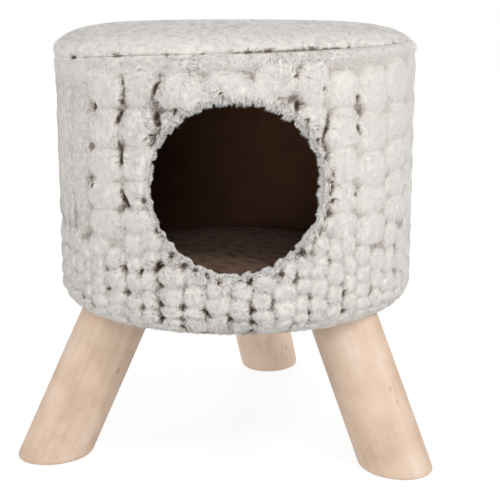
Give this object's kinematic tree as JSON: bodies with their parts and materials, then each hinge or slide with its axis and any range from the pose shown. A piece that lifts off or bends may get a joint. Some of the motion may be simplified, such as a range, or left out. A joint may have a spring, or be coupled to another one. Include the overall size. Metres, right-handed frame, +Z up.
{
  "type": "cat stool",
  "caption": "Plush-covered round stool with a round entrance to a lined cave, a loose cushion inside, on splayed round wooden legs.",
  "frame": {"origin": "on the floor under the middle of the object's bounding box; the drum's axis stands at x 0.0122, y -0.0252 because the three legs lean unevenly", "axes": "+Z up, square to the seat; the entrance faces -Y; +X is to the right as one looks into the entrance"},
  "size_m": [0.4028, 0.4144, 0.4192],
  "materials": {
    "cover_plush": "long soft plush in rows of round tufts, off-white with dark brown roots",
    "cave_lining": "short brushed lining, very dark brown",
    "cushion_plush": "dimpled short plush, dark brown",
    "foam": "open-cell foam",
    "fibreboard": "raw pressed fibreboard",
    "black_cloth": "thin non-woven cloth",
    "leg_wood": "sanded pale wood with faint grain, no gloss varnish",
    "zinc_steel": "bright zinc plate"
  },
  "bodies": {
    "stool": {"side_cover": "cover_plush", "top_cover": "cover_plush", "entrance_rim": "cover_plush", "wall_lining": "cave_lining", "ceiling_lining": "cave_lining", "floor_lining": "cave_lining", "wall_padding": "foam", "seat_foam": "foam", "base_board": "fibreboard", "top_board": "fibreboard", "wall_shell": "fibreboard", "wall_batten": "fibreboard", "underside_cloth": "black_cloth", "leg_rear": "leg_wood", "hanger_bolt_rear": "zinc_steel", "tee_nut_rear": "zinc_steel", "leg_front_left": "leg_wood", "hanger_bolt_front_left": "zinc_steel", "tee_nut_front_left": "zinc_steel", "leg_front_right": "leg_wood", "hanger_bolt_front_right": "zinc_steel", "tee_nut_front_right": "zinc_steel", "shell_screw_low_1": "zinc_steel", "shell_screw_low_2": "zinc_steel", "shell_screw_low_3": "zinc_steel", "shell_screw_low_4": "zinc_steel", "shell_screw_low_5": "zinc_steel", "shell_screw_low_6": "zinc_steel", "shell_screw_top_1": "zinc_steel", "shell_screw_top_2": "zinc_steel", "shell_screw_top_3": "zinc_steel", "shell_screw_top_4": "zinc_steel", "shell_screw_top_5": "zinc_steel", "shell_screw_top_6": "zinc_steel", "underside_staple_1": "zinc_steel", "underside_staple_2": "zinc_steel", "underside_staple_3": "zinc_steel", "underside_staple_4": "zinc_steel", "underside_staple_5": "zinc_steel", "underside_staple_6": "zinc_steel"},
    "cushion": {"cushion_top": "cushion_plush", "cushion_base": "cushion_plush", "cushion_core": "foam"}
  },
  "joints": [
    {"name": "cushion_lift", "type": "slide", "parent": "stool", "child": "cushion", "axis": [0, 0, 1], "range_m": [0, 0.12]}
  ]
}
